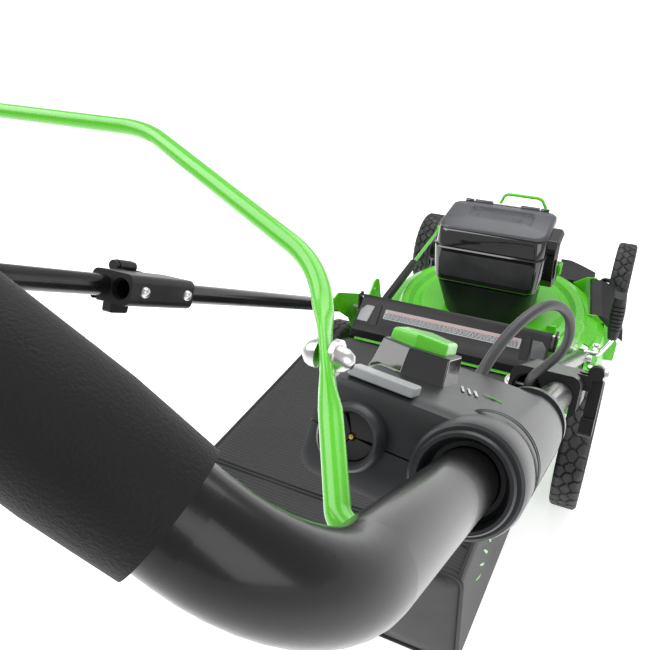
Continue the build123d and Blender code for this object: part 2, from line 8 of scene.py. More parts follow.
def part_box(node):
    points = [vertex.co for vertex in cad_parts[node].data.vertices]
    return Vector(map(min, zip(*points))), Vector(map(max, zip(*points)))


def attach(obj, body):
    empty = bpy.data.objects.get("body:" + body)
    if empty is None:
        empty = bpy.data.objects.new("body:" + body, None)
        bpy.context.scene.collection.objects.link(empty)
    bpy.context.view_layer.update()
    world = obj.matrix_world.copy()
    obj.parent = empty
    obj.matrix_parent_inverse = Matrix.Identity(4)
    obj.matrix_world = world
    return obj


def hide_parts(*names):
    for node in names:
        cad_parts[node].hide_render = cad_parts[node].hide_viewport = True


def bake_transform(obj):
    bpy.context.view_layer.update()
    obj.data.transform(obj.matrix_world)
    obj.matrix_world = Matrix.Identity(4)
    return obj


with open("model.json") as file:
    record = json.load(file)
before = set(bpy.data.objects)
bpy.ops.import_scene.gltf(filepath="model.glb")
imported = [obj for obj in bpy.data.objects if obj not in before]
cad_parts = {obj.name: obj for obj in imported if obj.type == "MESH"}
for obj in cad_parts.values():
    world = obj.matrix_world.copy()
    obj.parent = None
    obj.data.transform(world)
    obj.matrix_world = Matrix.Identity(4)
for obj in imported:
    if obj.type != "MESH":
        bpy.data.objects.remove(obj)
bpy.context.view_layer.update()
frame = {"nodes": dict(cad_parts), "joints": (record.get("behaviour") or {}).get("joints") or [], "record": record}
nodes = frame["nodes"]
joints = {j["name"]: j for j in frame["joints"]}

# ------------------------------------------------------------------ local frames
MM = 0.001
AXLE_Y = joints["wheel_rear_right_spin"]["pos_m"][1]
# mower: millimetres from the ground under the rear spindles
MOWER = Matrix.Translation((0, AXLE_Y, 0)) @ Matrix.Scale(MM, 4)


def axes_frame(origin, x, y, z):
    """A frame in millimetres with its origin in metres and its three axes given."""
    m = Matrix((x, y, z)).transposed().to_4x4()
    return Matrix.Translation(origin) @ m @ Matrix.Scale(MM, 4)


slide_axis = Vector(joints["handle_slide"]["axis"])
fold = Vector(joints["handle_fold"]["pos_m"])
up_leg = -slide_axis
over_leg = Vector((1, 0, 0)).cross(-up_leg)
# leg: x across, y over the leg, z along it from the fold pin
LEG = axes_frame((0, fold.y, fold.z), Vector((1, 0, 0)), over_leg, up_leg)
UPPER_X = 256.0
BOX_ROLL = math.radians(-6)
BOX = LEG @ Matrix.Translation((UPPER_X, 0, 0)) @ Matrix.Rotation(BOX_ROLL, 4, "Z")
flap_pin = Vector(joints["flap_hinge"]["pos_m"])
FLAP_SLOPE = math.atan2(31, 66)
flap_down = Vector((0, -math.cos(FLAP_SLOPE), -math.sin(FLAP_SLOPE)))
flap_up = Vector((0, -math.sin(FLAP_SLOPE), math.cos(FLAP_SLOPE)))
# flap: x across, y down its slope, z out of its face
FLAP = axes_frame((0, flap_pin.y, flap_pin.z), Vector((-1, 0, 0)), flap_down, flap_up)
bail_pin = Vector(joints["bail_swing"]["pos_m"])
BAIL_TILT = math.radians(13.7)
BAIL = axes_frame((0, bail_pin.y, bail_pin.z), Vector((1, 0, 0)),
                  Vector((0, math.cos(BAIL_TILT), math.sin(BAIL_TILT))),
                  Vector((0, -math.sin(BAIL_TILT), math.cos(BAIL_TILT))))


# ------------------------------------------------------------------ materials
def shade(name, color, rough, metal=0.0, coat=0.0, grain=900.0, bump=0.05, vary=0.12, sheen=0.0, worn=None,
          specular=0.5):
    """A procedural finish: colour and roughness vary with noise, and the grain raises a fine bump."""
    m = bpy.data.materials.new(name)
    m.use_nodes = True
    t = m.node_tree
    b = t.nodes["Principled BSDF"]
    b.inputs["Metallic"].default_value = metal
    b.inputs["Coat Weight"].default_value = coat
    b.inputs["Coat Roughness"].default_value = 0.06
    b.inputs["Sheen Weight"].default_value = sheen
    b.inputs["Specular IOR Level"].default_value = specular
    place = t.nodes.new("ShaderNodeTexCoord")
    wide = t.nodes.new("ShaderNodeTexNoise")
    wide.inputs["Scale"].default_value = 14
    wide.inputs["Detail"].default_value = 5
    fine = t.nodes.new("ShaderNodeTexNoise")
    fine.inputs["Scale"].default_value = grain
    fine.inputs["Detail"].default_value = 3
    ramp = t.nodes.new("ShaderNodeValToRGB")
    low = [c * (1 - vary) for c in color]
    high = [min(1, c * (1 + vary) + 0.004) for c in color]
    ramp.color_ramp.elements[0].position = 0.35
    ramp.color_ramp.elements[1].position = 0.68
    ramp.color_ramp.elements[0].color = (*low, 1)
    ramp.color_ramp.elements[1].color = (*high, 1)
    spread = t.nodes.new("ShaderNodeMapRange")
    spread.inputs["To Min"].default_value = max(0.02, rough - 0.06)
    spread.inputs["To Max"].default_value = min(1, rough + 0.06)
    relief = t.nodes.new("ShaderNodeBump")
    relief.inputs["Strength"].default_value = bump
    relief.inputs["Distance"].default_value = 0.001
    for n in (wide, fine):
        t.links.new(place.outputs["Object"], n.inputs["Vector"])
    t.links.new(wide.outputs["Fac"], ramp.inputs["Fac"])
    t.links.new(fine.outputs["Fac"], spread.inputs["Value"])
    t.links.new(spread.outputs["Result"], b.inputs["Roughness"])
    t.links.new(fine.outputs["Fac"], relief.inputs["Height"])
    t.links.new(relief.outputs["Normal"], b.inputs["Normal"])
    t.links.new(ramp.outputs["Color"], b.inputs["Base Color"])
    if worn:
        add_dust(t, b, ramp, worn)
    return m


def add_dust(t, b, ramp, color):
    """Pale dust in patches over a finish."""
    patch = t.nodes.new("ShaderNodeTexNoise")
    patch.inputs["Scale"].default_value = 60
    patch.inputs["Detail"].default_value = 8
    sharp = t.nodes.new("ShaderNodeValToRGB")
    sharp.color_ramp.elements[0].position = 0.52
    sharp.color_ramp.elements[1].position = 0.75
    mix = t.nodes.new("ShaderNodeMix")
    mix.data_type = "RGBA"
    mix.inputs["B"].default_value = (*color, 1)
    place = t.nodes.new("ShaderNodeTexCoord")
    t.links.new(place.outputs["Object"], patch.inputs["Vector"])
    t.links.new(patch.outputs["Fac"], sharp.inputs["Fac"])
    t.links.new(sharp.outputs["Color"], mix.inputs["Factor"])
    t.links.new(ramp.outputs["Color"], mix.inputs["A"])
    t.links.new(mix.outputs["Result"], b.inputs["Base Color"])


def weave(name, color, pale, across, along, bump):
    """Ribbed mesh cloth: threads across and along, with a darker hole at each crossing."""
    m = shade(name, color, 0.62, grain=1500, bump=0.1, sheen=0.12)
    t = m.node_tree
    b = t.nodes["Principled BSDF"]
    place = t.nodes.new("ShaderNodeTexCoord")
    waves = []
    for scale, direction in ((across, "Y"), (along, "X")):
        w = t.nodes.new("ShaderNodeTexWave")
        w.bands_direction = direction
        w.inputs["Scale"].default_value = scale
        w.inputs["Distortion"].default_value = 0.4
        w.inputs["Detail Scale"].default_value = 2
        t.links.new(place.outputs["UV"], w.inputs["Vector"])
        waves.append(w)
    mix = t.nodes.new("ShaderNodeMath")
    mix.operation = "MULTIPLY"
    t.links.new(waves[0].outputs["Fac"], mix.inputs[0])
    t.links.new(waves[1].outputs["Fac"], mix.inputs[1])
    ramp = t.nodes.new("ShaderNodeValToRGB")
    ramp.color_ramp.elements[0].color = (*color, 1)
    ramp.color_ramp.elements[1].color = (*pale, 1)
    ramp.color_ramp.elements[0].position = 0.2
    ramp.color_ramp.elements[1].position = 0.85
    relief = t.nodes.new("ShaderNodeBump")
    relief.inputs["Strength"].default_value = bump
    relief.inputs["Distance"].default_value = 0.0008
    t.links.new(mix.outputs["Value"], ramp.inputs["Fac"])
    t.links.new(mix.outputs["Value"], relief.inputs["Height"])
    t.links.new(ramp.outputs["Color"], b.inputs["Base Color"])
    t.links.new(relief.outputs["Normal"], b.inputs["Normal"])
    return m


GREEN = (0.085, 0.52, 0.004)
LOOKS = {
    "green_paint": shade("green_paint", GREEN, 0.28, coat=0.35, grain=350, bump=0.003, vary=0.04),
    "black_paint": shade("black_paint", (0.004, 0.004, 0.0045), 0.24, coat=0.12, grain=1800, bump=0.02,
                         vary=0.15,
                         specular=0.35),
    "black_plastic": shade("black_plastic", (0.008, 0.008, 0.0085), 0.38, grain=2200, bump=0.1, vary=0.25,
                           specular=0.3),
    "box_plastic": shade("box_plastic", (0.02, 0.021, 0.024), 0.34, grain=2600, bump=0.08, vary=0.1,
                         specular=0.35),
    "gloss_black": shade("gloss_black", (0.004, 0.004, 0.0045), 0.08, coat=0.9, grain=500, bump=0.004,
                         vary=0.1),
    "green_plastic": shade("green_plastic", (0.1, 0.55, 0.015), 0.25, coat=0.3, grain=900, bump=0.02,
                           vary=0.05),
    "tyre_rubber": shade("tyre_rubber", (0.022, 0.022, 0.024), 0.62, grain=900, bump=0.25, vary=0.3,
                         worn=(0.07, 0.07, 0.075)),
    "soft_rubber": shade("soft_rubber", (0.012, 0.012, 0.013), 0.5, grain=1500, bump=0.15, vary=0.2),
    "foam": shade("foam", (0.007, 0.007, 0.0075), 0.6, grain=1300, bump=0.3, vary=0.2, sheen=0.03,
                  specular=0.2),
    "cable_jacket": shade("cable_jacket", (0.035, 0.035, 0.038), 0.45, grain=900, bump=0.1, vary=0.15),
    "chrome_steel": shade("chrome_steel", (0.75, 0.75, 0.77), 0.12, metal=1.0, grain=700, bump=0.01,
                          vary=0.05),
    "zinc_steel": shade("zinc_steel", (0.62, 0.61, 0.6), 0.3, metal=1.0, grain=1200, bump=0.06, vary=0.12),
    "blade_steel": shade("blade_steel", (0.1, 0.1, 0.105), 0.4, metal=0.7, grain=700, bump=0.1, vary=0.25),
    "cast_aluminium": shade("cast_aluminium", (0.5, 0.5, 0.51), 0.45, metal=1.0, grain=1000, bump=0.25,
                            vary=0.12),
    "copper_core": shade("copper_core", (0.5, 0.2, 0.08), 0.35, metal=0.8, grain=600, bump=0.3, vary=0.25),
    "board": shade("board", (0.01, 0.12, 0.04), 0.4, grain=700, bump=0.1, vary=0.3),
    "mesh_fabric": weave("mesh_fabric", (0.006, 0.006, 0.007), (0.05, 0.05, 0.053), 60, 190, 0.9),
}
satin = shade("satin_panel", (0.03, 0.03, 0.032), 0.3, grain=1900, bump=0.2, vary=0.3)
lid_grey = shade("lid_satin", (0.06, 0.062, 0.07), 0.34, grain=2400, bump=0.07, vary=0.08)
pale_grey = shade("pale_plastic", (0.3, 0.31, 0.32), 0.4, grain=1800, bump=0.08, vary=0.1)
insert_grey = shade("insert_grey", (0.12, 0.125, 0.13), 0.16, coat=0.5, grain=160, bump=0.15, vary=0.5)
mark_white = shade("mark_white", (0.6, 0.6, 0.6), 0.5, grain=1500, bump=0.05, vary=0.1)
mark_red = shade("mark_red", (0.55, 0.16, 0.08), 0.5, grain=1500, bump=0.05, vary=0.1)
brass = shade("brass_pin", (0.7, 0.45, 0.15), 0.25, metal=1.0, grain=900, bump=0.03, vary=0.1)
piping = weave("piping", (0.008, 0.008, 0.009), (0.03, 0.03, 0.032), 300, 300, 0.6)
side_cloth = weave("side_cloth", (0.012, 0.012, 0.013), (0.045, 0.045, 0.048), 260, 260, 0.7)


def dress_cad():
    """Every CAD node gets the finish of its own slot."""
    for part in frame["record"]["subparts"]:
        node = nodes[part["node"]]
        node.data.materials.clear()
        node.data.materials.append(LOOKS[part["material_slot"]])


# ------------------------------------------------------------------ mesh helpers
def finish_mesh(name, bm, matrix, look, body, bevel=0.0, segments=2, smooth=40, replaces=()):
    """Turns a bmesh drawn in a local frame into a piece that rides on a body."""
    bmesh.ops.recalc_face_normals(bm, faces=bm.faces)
    bm.transform(matrix)
    mesh = bpy.data.meshes.new(name)
    bm.to_mesh(mesh)
    bm.free()
    for p in mesh.polygons:
        p.use_smooth = True
    mesh.set_sharp_from_angle(angle=math.radians(smooth))
    o = bpy.data.objects.new(name, mesh)
    bpy.context.scene.collection.objects.link(o)
    mesh.materials.append(LOOKS[look] if isinstance(look, str) else look)
    if bevel:
        mod = o.modifiers.new("edge", "BEVEL")
        mod.width = bevel * MM
        mod.segments = segments
        mod.limit_method = "ANGLE"
        mod.angle_limit = math.radians(32)
        mod.harden_normals = True
    if body:
        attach(o, body)
    if replaces:
        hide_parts(*replaces)
    return o


def bridge(bm, rings, closed=True):
    """Faces between rows of vertices, one row after another."""
    n = len(rings[0])
    for a, b in zip(rings, rings[1:]):
        for i in range(n if closed else n - 1):
            j = (i + 1) % n
            bm.faces.new((a[i], a[j], b[j], b[i]))


def loft(sections, caps=True):
    """Skin over sections, each a list of points."""
    bm = bmesh.new()
    rings = [[bm.verts.new(p) for p in s] for s in sections]
    bridge(bm, rings)
    if caps:
        bm.faces.new(list(reversed(rings[0])))
        bm.faces.new(rings[-1])
    return bm


def prism(outline, low, high):
    return loft([[(x, y, z) for x, y in outline] for z in (low, high)])


def lathe(profile, steps=64, caps=False):
    """Turns (r, z) points about the local Z axis."""
    sections = []
    for r, z in profile:
        turn = [2 * math.pi * i / steps for i in range(steps)]
        sections.append([(r * math.cos(a), r * math.sin(a), z) for a in turn])
    return loft(sections, caps)


def rounded(x0, x1, y0, y1, r, steps=8):
    """Outline of a rounded rectangle, anticlockwise."""
    points = []
    for cx, cy, start in ((x1 - r, y1 - r, 0), (x0 + r, y1 - r, 90), (x0 + r, y0 + r, 180),
                          (x1 - r, y0 + r, 270)):
        for i in range(steps + 1):
            a = math.radians(start + 90 * i / steps)
            points.append((cx + r * math.cos(a), cy + r * math.sin(a)))
    return points


def smooth_path(points, steps=12):
    """Points along the NURBS spline that has these control points, in their own frame."""
    curve = bpy.data.curves.new("path", "CURVE")
    curve.dimensions = "3D"
    curve.resolution_u = steps
    spline = curve.splines.new("NURBS")
    spline.points.add(len(points) - 1)
    for p, q in zip(spline.points, points):
        p.co = (*q, 1)
    spline.order_u = 3
    spline.use_endpoint_u = True
    holder = bpy.data.objects.new("path", curve)
    bpy.context.scene.collection.objects.link(holder)
    mesh = bpy.data.meshes.new_from_object(holder)
    line = [v.co.copy() for v in mesh.vertices]
    bpy.data.objects.remove(holder)
    bpy.data.meshes.remove(mesh)
    return line


def sweep(line, radius, steps=20, bead=None):
    """Round tube along a line of points; bead(i) scales its radius at each point."""
    bm = bmesh.new()
    rings = []
    side = None
    for i, p in enumerate(line):
        p = Vector(p)
        ahead = Vector(line[min(i + 1, len(line) - 1)]) - Vector(line[max(i - 1, 0)])
        ahead.normalize()
        if side is None:
            side = ahead.orthogonal().normalized()
        side = (side - ahead * side.dot(ahead)).normalized()
        other = ahead.cross(side)
        r = radius * (bead(i) if bead else 1)
        turn = [2 * math.pi * k / steps for k in range(steps)]
        rings.append([bm.verts.new(p + side * r * math.cos(a) + other * r * math.sin(a)) for a in turn])
    bridge(bm, rings)
    bm.faces.new(list(reversed(rings[0])))
    bm.faces.new(rings[-1])
    return bm


# ------------------------------------------------------------------ switch box on the right leg
BOX_SPLIT = -3.0
BOX_R = 23.0


def box_outline(inset, half):
    """The box's section: round about the tube, rounded on the left; half is 1 above the seam, -1 below it."""
    r = BOX_R - inset
    left = -73 + inset
    top, low = 21 - inset, -27 + inset
    corner = 10 - min(inset, 3)
    points = []
    if half > 0:
        for i in range(15):
            a = math.radians(-4 + 84 * i / 14)
            points.append((r * math.cos(a), -3 + (top + 3) * math.sin(a)))
        for i in range(9):
            a = math.radians(90 + 90 * i / 8)
            points.append((left + corner + corner * math.cos(a), top - corner + corner * math.sin(a)))
        points = [(x, max(y, BOX_SPLIT + 0.35)) for x, y in points]
        points.append((left, BOX_SPLIT + 0.35))
    else:
        points.append((left, BOX_SPLIT - 0.35))
        for i in range(9):
            a = math.radians(180 + 90 * i / 8)
            points.append((left + corner + corner * math.cos(a), low + corner + corner * math.sin(a)))
        for i in range(15):
            a = math.radians(-82 + 84 * i / 14)
            points.append((r * math.cos(a), -2 + (-low - 2) * math.sin(a)))
        points = [(x, min(y, BOX_SPLIT - 0.35)) for x, y in points]
    return points


def switch_box():
    stations = ((901, 9), (903, 5), (908, 2.2), (916, 1), (940, 0.2), (1066, 0), (1073, 0.6),
                (1077.5, 2.2), (1079.6, 5.5))
    for half, name in ((1, "box_top"), (-1, "box_bottom")):
        sections = [[(x, y, s) for x, y in box_outline(inset, half)] for s, inset in stations]
        finish_mesh(name + "_shell", loft(sections), BOX, "box_plastic", "upper_handle", smooth=35,
                    replaces=(name,))
    # two-step collar towards the user, and the cone towards the clamp
    collar = [(22.6, 1060), (23.4, 1066), (23.4, 1084), (22.6, 1087.4), (21.4, 1088.5), (20, 1088.5),
              (20, 1090.5), (19.2, 1092), (17.8, 1092), (16.9, 1090.5), (16.5, 1085), (15, 1083.5),
              (13.1, 1083.5), (13.1, 1070)]
    finish_mesh("box_collar", lathe(collar, 96), BOX, "box_plastic", "upper_handle", smooth=28)
    cone = [(13.1, 856), (14.4, 855.2), (15.2, 856.5), (17.4, 873), (20.4, 893), (22.2, 903), (22.4, 915),
            (13.1, 915)]
    finish_mesh("box_cone", lathe(cone, 96), BOX, "box_plastic", "upper_handle", smooth=28)
    for s in (1046, 1050):
        rib = [(22.8, s - 1.2), (23.35, s - 0.6), (23.35, s + 0.6), (22.8, s + 1.2)]
        finish_mesh(f"box_ring_{s}", lathe(rib, 96), BOX, "box_plastic", "upper_handle", smooth=60)


def switch_block():
    base = [(-71.5, 984), (-32, 984), (-31, 1024), (-53, 1030), (-72, 1024)]
    mid = [(-70.5, 986), (-33.5, 986), (-32.5, 1021), (-53, 1027), (-70.8, 1021)]
    top = [(-69, 988), (-35, 988), (-34, 1018.5), (-53, 1024), (-69.3, 1018.5)]
    sections = [[(x, h, s) for x, s in outline] for h, outline in ((16.5, base), (22, mid), (34, top))]
    finish_mesh("switch_block", loft(sections), BOX, "gloss_black", "upper_handle", bevel=0.9, segments=3)
    rim = [[(x, h, s) for x, s in outline] for h, outline in ((33.2, top), (34.2, top))]
    finish_mesh("switch_block_top", loft(rim), BOX, "box_plastic", "upper_handle", bevel=0.5)
    # two facets that meet in a crease
    button = []
    for inset, edge_h, crease_h in ((0, 30.5, 30.5), (0, 36, 36), (0.2, 39.4, 40.6), (1.2, 40.2, 41.4)):
        left, right, near, far = -68 + inset, -38 - inset, 991 + inset, 1012 - inset
        button.append([(left, edge_h, near), (-53, crease_h, near), (right, edge_h, near),
                       (right, edge_h, far), (-53, crease_h, far + 5.5), (left, edge_h, far)])
    finish_mesh("start_button_cap", loft(button), BOX, "green_plastic", "start_button", bevel=0.7,
                segments=3,
                replaces=("start_button",))
    # light bar on the user's top edge
    bar = prism(rounded(-62, -32, 1064, 1076, 1.2, 3), 0, 4.5)
    up = Matrix(((1, 0, 0, 0), (0, 0, 1, 20.4), (0, 1, 0, 0), (0, 0, 0, 1)))
    finish_mesh("box_ledge", bar, BOX @ up, pale_grey, "upper_handle", bevel=0.8,
                segments=3)
    for i in range(3):
        x = -28.5 + 3.4 * i
        strokes = prism([(x, 1001), (x + 1.3, 1001), (x + 5.3, 1015), (x + 4, 1015)], 0.9, 1.15)
        finish_mesh(f"box_mark_{i}", strokes, BOX @ up, mark_white, "upper_handle")
    for i in range(2):
        x = -16.6 + 3.5 * i
        strokes = prism([(x, 1000), (x + 7, 1003), (x + 7, 1004.4), (x, 1001.4)], 0.9 - i * 0.4,
                        1.15 - i * 0.4)
        finish_mesh(f"box_light_{i}", strokes, BOX @ up, "green_plastic", "upper_handle")


def socket():
    centre = BOX @ Matrix.Translation((-49.5, -2, 1080))
    ring = [(13.6, -14), (14.4, -6), (14.7, 4), (14, 7), (12.8, 8.4), (11.4, 8), (10.4, 6), (10.2, -4),
            (10.2, -12), (1.6, -12)]
    finish_mesh("socket_ring", lathe(ring, 72), centre, "box_plastic", "upper_handle", smooth=30,
                replaces=("start_socket",))
    for i in range(3):
        arc = [math.radians(120 * i + 4 + 112 * k / 12) for k in range(13)]
        rim = [(10 * math.cos(a), 10 * math.sin(a)) for a in arc]
        inner = [(1.8 * math.cos(a), 1.8 * math.sin(a)) for a in (arc[-1], arc[6], arc[0])]
        leaf = prism(rim + inner, 0.5, 2.5)
        finish_mesh(f"socket_leaf_{i}", leaf, centre, "soft_rubber", "upper_handle", bevel=0.4)
    pin = [(0.01, 3.6), (1.0, 3.4), (1.5, 2.6), (1.5, -10), (0.01, -10)]
    finish_mesh("socket_pin", lathe(pin, 24), centre, brass, "upper_handle")


# ------------------------------------------------------------------ bail, its wire and the handle
def dome(r, height, skirt=1.0):
    return [(0.01, height), (r * 0.5, height * 0.88), (r * 0.85, height * 0.5), (r, 0.2), (r, -skirt),
            (0.01, -skirt)]


BAIL_OUTLINE = [(250, 0), (239, 0), (190, 93), (62, 160)]
BAIL_RADII = (8, 60, 60)
BAIL_BOLT = (210.5, 54)


def bend(before, corner, after, r, steps=14):
    """Points of the arc of radius r that rounds a corner."""
    come, go = (before - corner).normalized(), (after - corner).normalized()
    half = come.angle(go) / 2
    centre = corner + (come + go).normalized() * (r / math.sin(half))
    first = corner + come * (r / math.tan(half))
    last = corner + go * (r / math.tan(half))
    return [centre + (first.lerp(last, i / steps) - centre).normalized() * r for i in range(steps + 1)]


def bail():
    """The bent bar, pressed flat where the bolt goes through it."""
    corners = [Vector((x, y, 0)) for x, y in BAIL_OUTLINE]
    corners.append(Vector((-BAIL_OUTLINE[-1][0], BAIL_OUTLINE[-1][1], 0)))
    right = [corners[0]]
    for i, r in enumerate(BAIL_RADII):
        arc = bend(corners[i], corners[i + 1], corners[i + 2], r)
        reach = (arc[0] - right[-1]).length
        right += [right[-1].lerp(arc[0], k / 12) for k in range(1, 12) if reach > 6]
        right += arc
    line = right + [Vector((-p.x, p.y, 0)) for p in reversed(right)]
    bar = sweep(line, 4.0, 24)
    (x0, y0), (x1, y1) = BAIL_OUTLINE[1:3]
    for v in bar.verts:
        flat = max(0, 1 - (abs(v.co.y - BAIL_BOLT[1]) / 17) ** 4) if v.co.x > 0 else 0
        middle = x0 + (x1 - x0) * (v.co.y - y0) / (y1 - y0)
        v.co.x = middle + (v.co.x - middle) * (1 - 0.4 * flat) if flat else v.co.x
        v.co.z *= 1 + 0.75 * flat
    finish_mesh("bail_bar_bent", bar, BAIL, "green_paint", "bail", smooth=50, replaces=("bail_bar",))


def bail_details():
    across = Matrix.Rotation(math.pi / 2, 4, "Y")
    side = BAIL @ Matrix.Translation((*BAIL_BOLT, 0)) @ across
    finish_mesh("bail_nut", lathe(dome(4.6, 6, 3), 32), side @ Matrix.Translation((0, 0, 4.6)),
                "zinc_steel", "bail", smooth=50,
                replaces=("bail_nuts",))
    head = side @ Matrix.Rotation(math.pi, 4, "X") @ Matrix.Translation((0, 0, 4.6))
    finish_mesh("bail_bolt_head", lathe(dome(4.8, 3.8, 2), 32), head, "zinc_steel", "bail", smooth=50)
    washer = lathe([(2.5, -1), (6.4, -1), (6.4, 1), (2.5, 1)], 32, False)
    finish_mesh("bail_washer", washer, side @ Matrix.Translation((0, 0, 3.6)), "zinc_steel", "bail",
                smooth=30)


GRIP_CORNER = Vector((256, -972.3, 999.1))
GRIP_TOP = Vector((128, -983, 1103.1))


def foam_grip():
    """Foam sleeve round the cross piece, with a rolled lip at each end."""
    start = GRIP_CORNER + (GRIP_TOP - GRIP_CORNER).normalized() * 36
    across = Vector((-1, 0, 0))
    climb = (GRIP_TOP - start).normalized()
    half_turn = climb.angle(across) / 2
    reach = 60 * math.tan(half_turn)
    bend_start = GRIP_TOP - climb * reach
    centre = bend_start + (across - climb * climb.dot(across)).normalized() * 60
    spoke = bend_start - centre
    right = [start.lerp(bend_start, i / 10) for i in range(10)]
    for i in range(19):
        a = 2 * half_turn * i / 18
        right.append(centre + spoke * math.cos(a) + climb * 60 * math.sin(a))
    middle = right[-1]
    right += [middle.lerp(Vector((0, middle.y, middle.z)), i / 14) for i in range(1, 15)]
    line = right + [Vector((-p.x, p.y, p.z)) for p in reversed(right[:-1])]
    last = len(line) - 1

    def swell(i):
        end = min(i, last - i)
        return 0.93 + 0.07 * min(1, end / 2) + 0.004 * math.sin(i * 0.9)

    sleeve = sweep(line, 16.2, 40, swell)
    o = finish_mesh("grip_foam_sleeve", sleeve, MOWER, "foam", "upper_handle", smooth=60,
                    replaces=("grip_foam",))


CABLE_ROUTE = [(213, 8, 900), (213, 8, 878), (222, 44, 856), (236, 70, 824), (247, 77, 790), (257, 68, 758),
               (257, 43, 738), (243, 24, 727), (230, 9, 718), (229, 0, 698)]


def power_cable():
    line = smooth_path([LEG @ Vector(p) for p in CABLE_ROUTE], 16)
    tube = sweep(line, 0.004, 20, lambda i: 1 + 0.02 * math.sin(i * 2.6))
    o = finish_mesh("power_cable_lead", tube, Matrix.Identity(4), "cable_jacket", None, smooth=60)
    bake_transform(o)
    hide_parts("power_cable")


# ------------------------------------------------------------------ power unit
def unit_outline(z_cut, x, y0, y1, r):
    return [(px, py, z_cut) for px, py in rounded(-x, x, y0, y1, r, 10)]


# levels of the power unit's shell: height, half width, rear and front y, corner radius
UNIT_LOWER = ((285, 105, 220, 402, 22), (288, 109, 215, 407, 24), (293, 112, 212.5, 409.5, 26),
              (318, 114.4, 218, 406, 25), (357, 117, 226, 399, 24), (361, 117, 227, 398.5, 24),
              (363.4, 115.5, 229.5, 396.5, 23))
UNIT_BAND = ((362.6, 113.6, 231.5, 395, 22), (364.4, 114.6, 231, 396, 23), (366, 115, 231.5, 395.5, 23),
             (392, 114, 245, 382, 24), (395, 113, 247, 380, 24), (396.2, 111.6, 248.6, 378.4, 23))


def across_pin(name, x, half_length, look, body):
    """Barrel of the lid's hinge, round the pin."""
    barrel = [(2.7, -half_length), (4.4, -half_length), (5, 1 - half_length), (5, half_length - 1),
              (4.4, half_length), (2.7, half_length)]
    pin = Vector(joints["lid_hinge"]["pos_m"])
    place = Matrix.Translation((x * MM, pin.y, pin.z))
    turned = place @ Matrix.Rotation(math.pi / 2, 4, "Y") @ Matrix.Scale(MM, 4)
    finish_mesh(name, lathe(barrel, 32), turned, look, body, smooth=40)


def housing():
    low = loft([unit_outline(*level) for level in UNIT_LOWER])
    finish_mesh("unit_lower", low, MOWER, "gloss_black", "deck", smooth=32, replaces=("housing_body",))
    band = loft([unit_outline(*level) for level in UNIT_BAND])
    finish_mesh("unit_band", band, MOWER, "gloss_black", "deck", smooth=32)
    # satin panel let into the rear face, between the taper and the step
    lean = math.atan2(226 - 218, 357 - 318)
    rear = MOWER @ Matrix.Translation((0, 217.6, 318)) @ Matrix.Rotation(math.pi / 2 - lean, 4, "X")
    panel = loft([[(x, y, z) for x, y in rounded(-99 + i, 99 - i, -16 + i, 37 - i, 7 - i * 0.5, 6)]
                  for z, i in ((-0.6, 0), (0.5, 0), (0.9, 1.2))])
    finish_mesh("unit_rear_panel", panel, rear, satin, "deck", smooth=35)
    pod = [(262, 288), (330, 288), (346, 346), (330, 392), (272, 392), (254, 346)]
    shrink = [(298 + (y - 298) * 0.86, 340 + (z - 340) * 0.86) for y, z in pod]
    sections = [[(x, y, z) for y, z in outline] for x, outline in ((106, pod), (132, pod), (138, shrink))]
    finish_mesh("key_pod", loft(sections), MOWER, "gloss_black", "deck", bevel=1.5, segments=3)
    for side in (-1, 1):
        across_pin(f"lid_knuckle_{side}", side * 83, 9, "gloss_black", "deck")
    key = [[(x, y, z) for y, z in rounded(287 - g, 309 + g, 305 - g, 329 + g, 5, 5)]
           for x, g in ((110, -5), (138.1, -5), (138.2, 0), (143, 0), (145, -1.5))]
    finish_mesh("safety_key_grip", loft(key), MOWER, "green_plastic", "key", bevel=0.5,
                replaces=("safety_key",))


LID_Y = (248.0, 380.0)
LID_MID = sum(LID_Y) / 2
SCOOP_Y = (292.0, 350.0)


def lid_height(x, y):
    """Height of the crowned lid over its lower edge, with the scooped hand recess."""
    t = (y - LID_Y[0]) / (LID_Y[1] - LID_Y[0])
    crown = 411 - 8 * abs(2 * t - 1) ** 2.4 - 3 * max(0, t) ** 3 - 2 * (x / 113) ** 4
    depth_in = min(1, max(0, (y - SCOOP_Y[0]) / 7)) * min(1, max(0, (SCOOP_Y[1] - y) / 5))
    half = 50 + (y - SCOOP_Y[0]) * 0.42
    wide_in = min(1, max(0, (half - abs(x - 4)) / 7))
    scoop = depth_in * wide_in
    scoop = scoop * scoop * (3 - 2 * scoop)
    return crown - 6.5 * scoop * (0.45 + 0.55 * (y - SCOOP_Y[0]) / 58)


def lid():
    bm = bmesh.new()
    edge = rounded(-113, 113, *LID_Y, 24, 14)
    rings = []
    for z, inset in ((396.6, 1.2), (397.4, 0.2), (399, 0)):
        rings.append([bm.verts.new((x * (1 - inset / 113), y + (inset if y < LID_MID else -inset), z))
                      for x, y in edge])
    steps = 64
    for k in range(steps):
        t = 1 - k / steps
        fall = 5 * max(0, 1 - (1 - t) * 18) ** 2
        ring = []
        for x, y in edge:
            px, py = x * t, LID_MID + (y - LID_MID) * t
            ring.append(bm.verts.new((px, py, max(399.4, lid_height(px, py) - fall))))
        rings.append(ring)
    bridge(bm, rings)
    bm.faces.new(rings[-1])
    bm.faces.new(list(reversed(rings[0])))
    finish_mesh("battery_lid_skin", bm, MOWER, lid_grey, "lid", smooth=30,
                replaces=("battery_lid",))
    for x in (-51, 51):
        across_pin(f"lid_barrel_{x}", x, 20, lid_grey, "lid")


